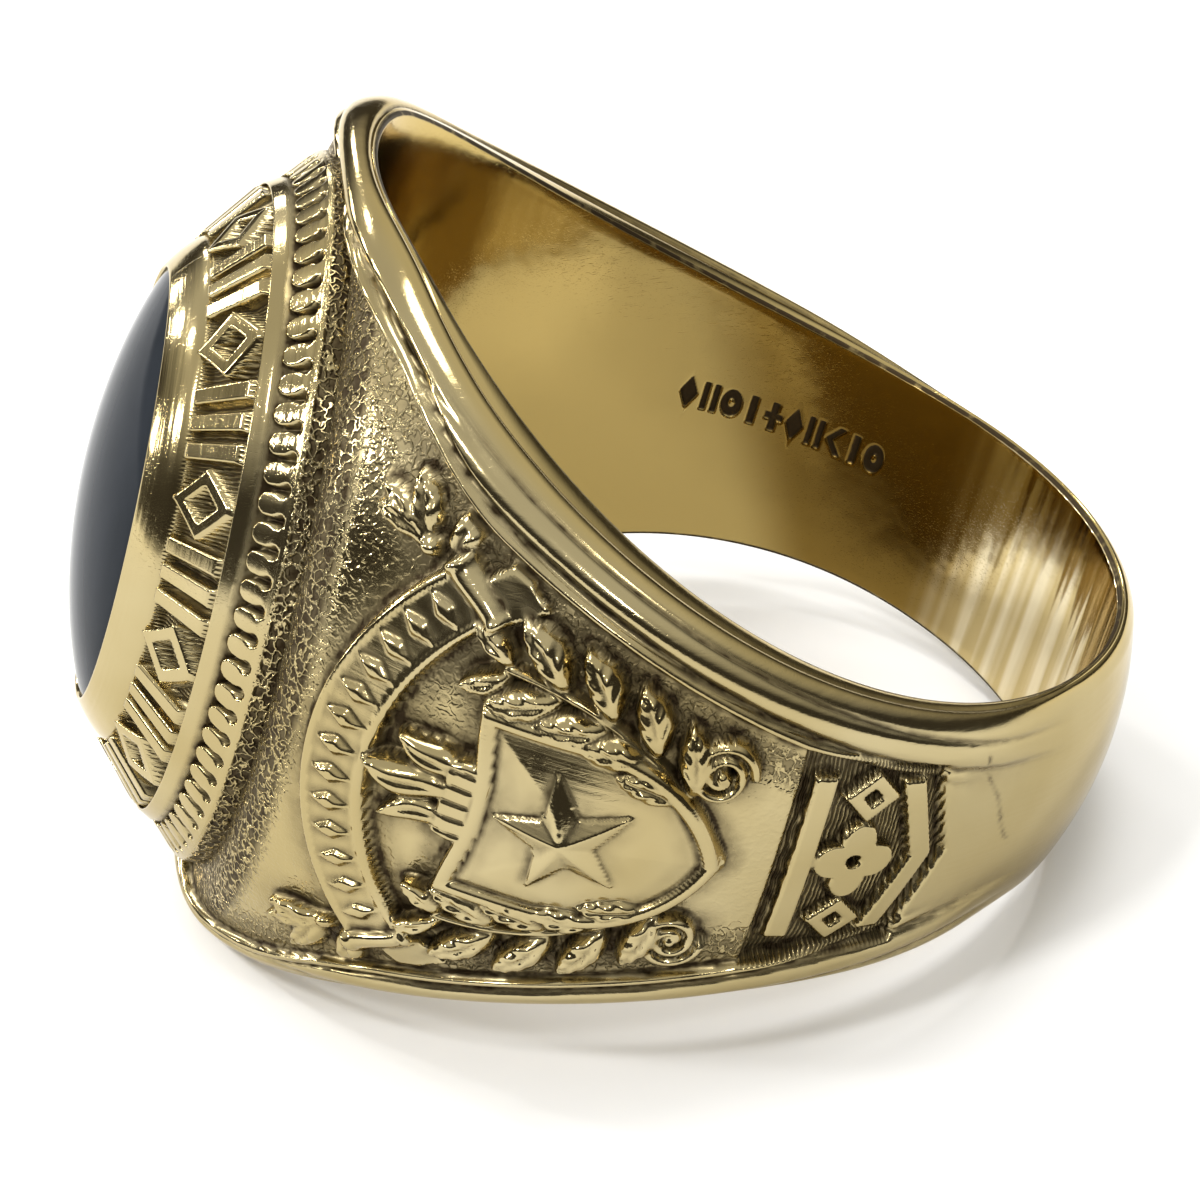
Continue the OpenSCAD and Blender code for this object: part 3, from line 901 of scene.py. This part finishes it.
def tongueSlots(oval):  # 1 in the slots between the tongues, and the height of the tongues' crown
    pitch = 2 * math.pi * (oval - bezel["narrower"] / 2) / bezel["tongues"]
    across = np.abs((ovalShare * bezel["tongues"]) % 1 - 0.5) * pitch
    along = (oval - bezel["tongueFrom"]) * bezel["faceSlope"]
    widen, widenAt, widenReach = bezel["slotWiden"]
    half = bezel["tongueHalf"] - widen * np.exp(-((oval - widenAt) / widenReach) ** 2)
    fromAxis = np.where(along < half, np.hypot(across, half - along), across)
    pad = smoothStep(*bezel["padEdge"], half - fromAxis)
    edge = bezel["tongueEdge"]
    inRow = smoothStep(-edge, edge, oval - bezel["tongueFrom"]) * (1 - smoothStep(*bezel["lip"], oval))
    crown = bezel["tongueCrown"] * np.clip(1 - (across / half) ** 2, 0, 1)
    return (1 - pad) * inRow, crown * inRow


def channelRise(oval):
    inner, outer = bezel["channelInner"], bezel["channelOuter"]
    across = np.abs(oval - (inner + outer) / 2) / (outer - inner) * 2  # 1 at the channel's sides
    cell = ovalShare * bezel["ornaments"]
    shorter = (inner + outer - bezel["narrower"]) / (2 * bezel["evenAt"] - bezel["narrower"])
    along = np.abs((cell + 0.5) % 1 - 0.5) * ovalLength * shorter / bezel["ornaments"]
    reachAlong, reachAcross, slope = bezel["lozenge"]
    rise = bezel["ornamentRise"]
    lozenge = (1 - along / reachAlong - across / reachAcross) * slope
    hollowed = smoothStep(*bezel["lozengeSunk"], lozenge) * rise
    barAt = np.where(along > bezel["barPitch"] / 2, bezel["barPitch"], 0)
    bars = np.minimum(bezel["barHalf"] - np.abs(along - barAt), bezel["barEnd"] - across)
    height = np.where(np.floor(cell + 0.5) % 2 < 0.5, pillow(lozenge, rise, bezel["lozengeEdge"]) - hollowed,
                      pillow(bars, rise, bezel["barEdge"]))
    return height * (across < bezel["ornamentEnd"])


def trimSheet():  # wall, tongues and rail
    oval, level = filledRows(trimProfile, bezel["trimStep"])
    slots, crown = tongueSlots(oval)
    outside = oval > bezel["wallOutside"]
    wall = smoothStep(*bezel["wallTop"], level) * outside + 0 * slots
    railAt, railReach = bezel["behindRail"]
    behindRail = smoothStep(railReach, 0, np.abs(oval - railAt))
    # the slots are darkened as patina, doubled so that it spreads over their slopes as painted shade; the
    # line behind the rail is painted shade in the gap
    marks = {"hollow": highest(np.clip(2 * slots, 0, 1), behindRail), "stipple": wall, "lapped": 1 - wall}
    points = ovalPoints(oval, level - bezel["tongueDip"] * slots + crown)
    surface = stacked(ovalShare * ovalLength, oval - level * outside)
    return sheetPiece("bezel_trim", points, marks, surface, True, closed=True)


def collarSheet():  # channel with its ornaments, and the polished collar round the stone
    oval, level = filledRows(collarProfile, bezel["collarStep"])
    rise = channelRise(oval)
    sunk = smoothStep(*bezel["channelFrom"], oval) * smoothStep(*bezel["channelTo"], oval)
    sunk = sunk * (1 - smoothStep(*bezel["ornamentSide"], rise))
    seat = smoothStep(*bezel["seatLevel"], level) * (oval < bezel["seatInside"])
    marks = {"hollow": np.maximum(sunk * bezel["channelDark"], seat), "hatch": sunk, "lapped": 1 - sunk}
    surface = stacked(ovalShare * ovalLength, oval)
    return sheetPiece("bezel_collar", ovalPoints(oval, level + rise), marks, surface, True, closed=True)


goldPieces.append(trimSheet())
goldPieces.append(collarSheet())
print("bezel is done")


# Stone: a low oval dome, its edge just under the collar's

cabochon = {
    "halfLength": 5.325,
    "halfWidth": 4.275,
    "edgeLevel": 3.4,
    "topLevel": 4.42,
    "footLevel": 2.65,
    "domePower": 0.88,
    "sideSteep": 4,
    "footWiden": 1.03,
}


def makeStone():
    deselectAll()
    bpy.ops.mesh.primitive_uv_sphere_add(segments=128, ring_count=64, radius=1)
    stone = bpy.context.object
    stone.name = stone.data.name = "cabochon"
    x, y, z = readPoints(stone.data).astype(float).T
    share = np.hypot(x, y)
    edge, top, foot = (cabochon[key] for key in ("edgeLevel", "topLevel", "footLevel"))
    dome = edge + (top - edge) * (1 - np.clip(share, 0, 1) ** 2) ** cabochon["domePower"]
    side = edge - np.clip(-z * cabochon["sideSteep"], 0, 1) * (edge - foot)
    widen = np.where(z < 0, np.minimum(1, share * cabochon["footWiden"]) / np.maximum(share, tiny), 1)
    points = stacked(-bezel["faceX"] - np.where(z >= 0, dome, side), cabochon["halfWidth"] * x * widen,
                     cabochon["halfLength"] * y * widen)
    layPoints(stone.data, points)
    bpy.ops.object.mode_set(mode="EDIT")
    bpy.ops.mesh.select_all(action="SELECT")
    bpy.ops.mesh.normals_make_consistent(inside=False)
    bpy.ops.object.mode_set(mode="OBJECT")
    bpy.ops.object.shade_smooth()
    return stone


stonePiece = makeStone()
print("stone is done")


# Finishes

goldFinish = {
    "polished": (0.43, 0.358, 0.197),
    "deeper": (0.365, 0.292, 0.14),
    "inside": (0.47, 0.35, 0.125),  # painted warm tone on the bore's wall, standing in for the gold's reflections of itself there
    "glancing": (0.92, 0.87, 0.76),
    # painted dark reflection on the bore's wall
    "paintedReflection": (0.2, 0.12, 0.022),
    # painted sheen: lighter colour along the brushing lines
    "brushedSheen": (0.8, 0.71, 0.5),
    # tarnish in hollows, and painted shade in the gaps by the tongues
    "tarnishAndShade": (0.03, 0.018, 0.006),
    "roughness": 0.1,
    "smudgeRoughness": 0.07,
    "punchedRoughness": 0.08,
    "tarnishAndShadeRoughness": 0.5,
    "tarnishAndShadeMetallic": 0.75,
    "pitCell": 0.25,  # millimetres, as are the other depths and heights
    "pitDepth": 0.09,
    "pitSlope": (0.04, 0.26),
    "pitDark": (0.06, 0.14),
    "pitShake": 0.34,
    "hatchPitch": 0.12,
    "hatchDepth": 0.05,
    "hatchWander": 0.14,
    "hatchDark": 0.95,
    "wave": 0.014,
    "scratch": 0.0006,
    "grain": 0.055,
    "brushedLines": (1.7, 0.04, 1),  # lines per millimetre over the surface
    "sheenStreaks": (0.42, 0.6, 0.25, 1.0),
    "lapping": 0.006,
    "lappedLines": (0.25, 9.0, 1),
    "swell": 0.1,
}
# turn and stretch of the two sets of fine scratches
scratchSets = (((0.3, 0.2, 0.9), (900, 22000, 22000)), ((1.1, 0.5, -0.4), (22000, 700, 22000)))
stoneFinish = {
    "deep": (0.019, 0.022, 0.026),
    "milky": (0.029, 0.033, 0.04),
    "roughness": (0.05, 0.1),
    "ior": 1.17,
    "specular": 0.1,
    "wave": 0.004,
}


def setInputs(tree, node, inputs):  # a socket is linked, anything else is set on the node itself
    for key, value in inputs.items():
        if isinstance(value, bpy.types.NodeSocket):
            tree.links.new(value, node.inputs[key])
        else:
            node.inputs[key].default_value = value


def addNode(tree, kind, inputs, **settings):
    node = tree.nodes.new(kind)
    for key, value in settings.items():
        setattr(node, key, value)
    setInputs(tree, node, inputs)
    return node


def mathNode(tree, operation, *values, clamp=False):
    node = addNode(tree, "ShaderNodeMath", dict(enumerate(values)), operation=operation, use_clamp=clamp)
    return node.outputs[0]


def multiplied(tree, value, *others):
    for other in others:
        value = mathNode(tree, "MULTIPLY", value, other)
    return value


def added(tree, value, *others):
    for other in others:
        value = mathNode(tree, "ADD", value, other)
    return value


def mixColour(tree, share, first, second):  # the first may be a socket or a colour
    first = (*first, 1) if isinstance(first, tuple) else first
    return addNode(tree, "ShaderNodeMix", {0: share, 6: first, 7: (*second, 1)}, data_type="RGBA").outputs[2]


def rangeNode(tree, value, low, high, start=0.0, end=1.0):
    inputs = {"Value": value, "From Min": low, "From Max": high, "To Min": start, "To Max": end}
    return addNode(tree, "ShaderNodeMapRange", inputs).outputs[0]


def noiseNode(tree, place, scale, detail, flat=False, distortion=0.0):  # its value, then its colour
    inputs = {"Vector": place, "Scale": scale, "Detail": detail, "Distortion": distortion}
    return addNode(tree, "ShaderNodeTexNoise", inputs, noise_dimensions="2D" if flat else "3D").outputs


def noiseLines(tree, place, stretch, detail, flat=False, turn=(0, 0, 0)):
    laid = addNode(tree, "ShaderNodeMapping", {"Vector": place, "Rotation": turn, "Scale": stretch})
    return noiseNode(tree, laid.outputs[0], 1.0, detail, flat)[0]


def bumpNode(tree, height):
    inputs = {"Strength": 1.0, "Distance": millimetre, "Height": height}
    return addNode(tree, "ShaderNodeBump", inputs).outputs[0]


def newGroup(name, inputs, outputs):
    group = bpy.data.node_groups.new(name, "ShaderNodeTree")
    for socketName in inputs:
        kind = "NodeSocketVector" if socketName == "Place" else "NodeSocketFloat"
        group.interface.new_socket(socketName, in_out="INPUT", socket_type=kind)
    for socketName in outputs:
        group.interface.new_socket(socketName, in_out="OUTPUT", socket_type="NodeSocketFloat")
    return group, group.nodes.new("NodeGroupInput").outputs, group.nodes.new("NodeGroupOutput")


def makePunchedGround():  # a net of fine ridges round dark pits, in millimetres of height
    group, given, out = newGroup("punchedGround", ("Place", "Strength", "Cell", "Depth"), ("Height", "Pit"))
    shake = noiseNode(group, given["Place"], scale=5.0, detail=1.0, flat=True)[1]
    reach = goldFinish["pitShake"]
    shaken = addNode(group, "ShaderNodeVectorMath", {0: shake, 1: (reach, reach, 0), 2: given["Place"]},
                     operation="MULTIPLY_ADD").outputs[0]
    scale = mathNode(group, "DIVIDE", 1.0, given["Cell"])
    fromEdge = addNode(group, "ShaderNodeTexVoronoi", {"Vector": shaken, "Scale": scale, "Randomness": 1.0},
                       voronoi_dimensions="2D", feature="DISTANCE_TO_EDGE").outputs["Distance"]
    pit = rangeNode(group, fromEdge, *goldFinish["pitSlope"])
    dark = rangeNode(group, fromEdge, *goldFinish["pitDark"])
    dark = multiplied(group, dark, rangeNode(group, given["Strength"], 0.2, 0.6))
    height = multiplied(group, pit, given["Strength"], given["Depth"], -1.0)
    setInputs(group, out, {"Height": height, "Pit": dark})
    return group


def makeHatchedGround():  # fine parallel cuts
    group, given, out = newGroup("hatchedGround", ("Place", "Strength", "Pitch", "Depth"), ("Height", "Cut"))
    along = addNode(group, "ShaderNodeSeparateXYZ", {0: given["Place"]}).outputs[0]
    uneven = noiseNode(group, given["Place"], scale=2.2, detail=2.0, flat=True)[0]
    along = added(group, along, multiplied(group, uneven, goldFinish["hatchWander"]))
    turns = multiplied(group, mathNode(group, "DIVIDE", along, given["Pitch"]), 2 * math.pi)
    wave = mathNode(group, "MULTIPLY_ADD", mathNode(group, "SINE", turns), 0.5, 0.5)
    cut = multiplied(group, wave, given["Strength"])
    setInputs(group, out, {"Height": multiplied(group, cut, given["Depth"], -1.0), "Cut": cut})
    return group


def makeWornPolish():  # soft waves and fine scratches of a hand-polished surface
    group, given, out = newGroup("wornPolish", ("Place", "Wave", "Scratch"), ("Height", "Smudge", "Tone"))
    soft = noiseNode(group, given["Place"], scale=760.0, detail=2.0)[0]
    height = multiplied(group, soft, given["Wave"])
    for turn, stretch in scratchSets:
        lines = noiseLines(group, given["Place"], stretch, detail=1.0, turn=turn)
        thin = rangeNode(group, lines, 0.63, 0.74)
        height = mathNode(group, "SUBTRACT", height, multiplied(group, thin, given["Scratch"]))
    smudge = noiseNode(group, given["Place"], scale=300.0, detail=5.0)[0]
    tone = noiseNode(group, given["Place"], scale=170.0, detail=3.0)[0]
    setInputs(group, out, {"Height": height, "Smudge": rangeNode(group, smudge, 0.4, 0.7),
                           "Tone": rangeNode(group, tone, 0.38, 0.62)})
    return group


def makeTarnishAndShade():  # breaks a hollow's outline up, the way dark residue stays in it; some hollows also carry painted shade
    group, given, out = newGroup("tarnishAndShadeInHollows", ("Place", "Hollow", "Pit", "Cut"), ("Dark",))
    uneven = noiseNode(group, given["Place"], scale=2600.0, detail=4.0)[0]
    patchy = rangeNode(group, uneven, 0.3, 0.65, 0.55, 1.15)
    hollow = mathNode(group, "MULTIPLY", given["Hollow"], patchy, clamp=True)
    pit = multiplied(group, given["Pit"], rangeNode(group, uneven, 0.35, 0.6, 0.8, 1.0))
    darker = mathNode(group, "MAXIMUM", hollow, pit)
    cut = multiplied(group, given["Cut"], goldFinish["hatchDark"])
    setInputs(group, out, {"Dark": mathNode(group, "MAXIMUM", darker, cut, clamp=True)})
    return group


def newMaterial(name):
    material = bpy.data.materials.new(name)
    material.use_nodes = True
    return material, material.node_tree, material.node_tree.nodes["Principled BSDF"]


def placeGroup(tree, group, **inputs):
    return addNode(tree, "ShaderNodeGroup", inputs, node_tree=group).outputs


def readMark(tree, markName, output="Fac"):
    return addNode(tree, "ShaderNodeAttribute", {}, attribute_name=markName).outputs[output]


def makeGold():
    material, tree, shader = newMaterial("yellow_gold")
    place = addNode(tree, "ShaderNodeTexCoord", {}).outputs["Object"]
    surface = readMark(tree, "surface", "Vector")
    mark = {name: readMark(tree, name)
            for name in ("hollow", "stipple", "hatch", "grain", "inside", "lapped", "paintedReflection")}
    punched = placeGroup(tree, makePunchedGround(), Place=surface, Strength=mark["stipple"],
                         Cell=goldFinish["pitCell"], Depth=goldFinish["pitDepth"])
    hatched = placeGroup(tree, makeHatchedGround(), Place=surface, Strength=mark["hatch"],
                         Pitch=goldFinish["hatchPitch"], Depth=goldFinish["hatchDepth"])
    worn = placeGroup(tree, makeWornPolish(), Place=place, Wave=goldFinish["wave"],
                      Scratch=goldFinish["scratch"])
    dark = placeGroup(tree, makeTarnishAndShade(), Place=place, Hollow=mark["hollow"], Pit=punched["Pit"],
                      Cut=hatched["Cut"])["Dark"]
    brushedLines = noiseLines(tree, surface, goldFinish["brushedLines"], detail=1.0, flat=True)
    # painted sheen: the brushing lines are coloured lighter where the wall is brushed
    sheenStreaks = multiplied(tree, rangeNode(tree, brushedLines, *goldFinish["sheenStreaks"]), mark["grain"])
    colour = mixColour(tree, worn["Tone"], goldFinish["polished"], goldFinish["deeper"])
    # tints over the gold: the bore's painted warm reflection tone, a painted dark reflection on its wall,
    # painted sheen along the brushing, and tarnish with some painted shade in hollows
    for share, tint in ((mark["inside"], "inside"), (mark["paintedReflection"], "paintedReflection"), (sheenStreaks, "brushedSheen"),
                        (dark, "tarnishAndShade")):
        colour = mixColour(tree, share, colour, goldFinish[tint])
    smooth = mathNode(tree, "MULTIPLY_ADD", worn["Smudge"], goldFinish["smudgeRoughness"],
                      goldFinish["roughness"])
    rougher = multiplied(tree, dark, goldFinish["tarnishAndShadeRoughness"] - goldFinish["roughness"])
    rough = mathNode(tree, "ADD", smooth, rougher, clamp=True)
    rough = added(tree, rough, multiplied(tree, mark["stipple"], goldFinish["punchedRoughness"]))
    drawn = multiplied(tree, brushedLines, goldFinish["grain"], mark["grain"])
    lappedLines = noiseLines(tree, surface, goldFinish["lappedLines"], detail=3.0, flat=True)
    lapped = multiplied(tree, lappedLines, goldFinish["lapping"], mark["lapped"])
    swell = noiseNode(tree, place, scale=210.0, detail=1.0)[0]
    swell = multiplied(tree, swell, goldFinish["swell"], mark["inside"])
    height = added(tree, punched["Height"], hatched["Height"], worn["Height"], drawn, lapped, swell)
    setInputs(tree, shader, {"Base Color": colour, "Roughness": rough, "Normal": bumpNode(tree, height),
                             "Metallic": rangeNode(tree, dark, 0, 1, 1.0, goldFinish["tarnishAndShadeMetallic"]),
                             "Specular Tint": (*goldFinish["glancing"], 1)})
    return material


def makeStoneFinish():
    material, tree, shader = newMaterial("dark_cabochon")
    place = addNode(tree, "ShaderNodeTexCoord", {}).outputs["Object"]
    cloud = noiseNode(tree, place, scale=260.0, detail=5.0, distortion=0.6)[0]
    fine = noiseNode(tree, place, scale=1800.0, detail=4.0)[0]
    veil = rangeNode(tree, cloud, 0.35, 0.75)
    setInputs(tree, shader, {
        "Base Color": mixColour(tree, veil, stoneFinish["deep"], stoneFinish["milky"]),
        "Roughness": rangeNode(tree, fine, 0.3, 0.7, *stoneFinish["roughness"]),
        "Normal": bumpNode(tree, multiplied(tree, cloud, stoneFinish["wave"])),
        "IOR": stoneFinish["ior"], "Specular IOR Level": stoneFinish["specular"]})
    return material


goldMaterial = makeGold()
for piece in goldPieces:
    piece.data.materials.append(goldMaterial)
    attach(piece, "root")
    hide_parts("ring_body")
stonePiece.data.materials.append(makeStoneFinish())
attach(stonePiece, "root")
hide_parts("stone")
print("finishes are done")


# Studio: pale floor, soft light, the photograph's camera

studio = {
    "floorColour": (0.96, 0.96, 0.96),
    "floorSize": 3,  # metres
    "floorRoughness": 0.9,
    "floorSpecular": 0.1,
    "horizon": (0.07, 0.064, 0.056),
    "zenith": (0.95, 0.94, 0.9),
    "skyFrom": (0.33, 0.66),  # how high up the horizon's tone goes over to the zenith's
    "behind": 0.15,  # how much further down the light reaches behind the ring
    "cameraTurn": -4.2785,  # degrees about the ring, from -y
    "cameraRise": 30.3976,
    "cameraRoll": -2.7477,
    "cameraTarget": (-2.1303, 0, -0.1027),  # millimetres from the bore's middle
    "cameraDistance": 98.2716,
    "lens": 122.04,
    "sensorWidth": 36,
    "clipStart": 0.001,
}
# name, place in metres, size, power in watts
softLights = (
    ("key_light", (-0.24, -0.2, 0.42), (0.07, 0.07), 0.8),
    ("side_light", (-0.4, -0.02, 0.22), (0.05, 0.05), 0.5),
    ("high_side_light", (-0.36, 0.16, 0.34), (0.03, 0.03), 0.32),
    ("far_side_light", (-0.32, 0.25, 0.2), (0.035, 0.035), 0.35),
    ("low_side_light", (-0.42, 0.12, 0.1), (0.04, 0.04), 0.25),
    ("back_light", (-0.16, 0.34, 0.36), (0.05, 0.05), 0.3),
    ("low_left_light", (-0.3, 0.42, 0.13), (0.06, 0.04), 0.3),
    ("low_right_light", (-0.12, 0.5, 0.2), (0.05, 0.05), 0.3),
    ("top_light", (0.08, 0.06, 0.5), (0.16, 0.16), 0.75),
    ("front_light", (0.2, -0.42, 0.42), (0.07, 0.07), 0.5),
)


def makeFloor():
    deselectAll()
    bpy.ops.mesh.primitive_plane_add(size=studio["floorSize"])
    floor = bpy.context.object
    floor.name = floor.data.name = "pale_floor"
    material, tree, shader = newMaterial("pale_floor")
    setInputs(tree, shader, {"Base Color": (*studio["floorColour"], 1), "Roughness": studio["floorRoughness"],
                             "Specular IOR Level": studio["floorSpecular"]})
    floor.data.materials.append(material)


def makeCamera():
    turn, rise, roll = (math.radians(studio[key]) for key in ("cameraTurn", "cameraRise", "cameraRoll"))
    back = Vector((math.sin(turn) * math.cos(rise), -math.cos(turn) * math.cos(rise), math.sin(rise)))
    right = Vector((0, 0, 1)).cross(back).normalized()
    up = back.cross(right)
    rolledRight = right * math.cos(roll) + up * math.sin(roll)
    rolledUp = up * math.cos(roll) - right * math.sin(roll)
    target = Vector(studio["cameraTarget"]) * millimetre + Vector(boreCentre)
    place = target + back * studio["cameraDistance"] * millimetre
    bpy.ops.object.camera_add()
    camera = bpy.context.object
    turned = Matrix((rolledRight, rolledUp, back)).transposed().to_4x4()
    camera.matrix_world = Matrix.Translation(place) @ turned
    camera.data.lens = studio["lens"]
    camera.data.sensor_width = studio["sensorWidth"]
    camera.data.clip_start = studio["clipStart"]
    bpy.context.scene.camera = camera


def makeLights():
    aim = Vector(boreCentre)
    for name, place, size, power in softLights:
        bpy.ops.object.light_add(type="AREA", location=place)
        light = bpy.context.object
        light.name = name
        light.rotation_euler = (aim - Vector(place)).to_track_quat("-Z", "Y").to_euler()
        light.data.shape = "RECTANGLE"
        light.data.size, light.data.size_y = size
        light.data.energy = power


def makeSky():
    world = bpy.context.scene.world or bpy.data.worlds.new("studio")
    bpy.context.scene.world = world
    world.use_nodes = True
    tree = world.node_tree
    around = addNode(tree, "ShaderNodeTexCoord", {}).outputs["Generated"]
    sky = addNode(tree, "ShaderNodeSeparateXYZ", {0: around}).outputs
    level = added(tree, sky[2], multiplied(tree, sky[1], studio["behind"]))
    shade = mixColour(tree, rangeNode(tree, level, *studio["skyFrom"]), studio["horizon"], studio["zenith"])
    setInputs(tree, tree.nodes["Background"], {0: shade})


makeFloor()
makeCamera()
makeLights()
makeSky()
bpy.context.scene.view_settings.view_transform = "Standard"
print("studio is done")
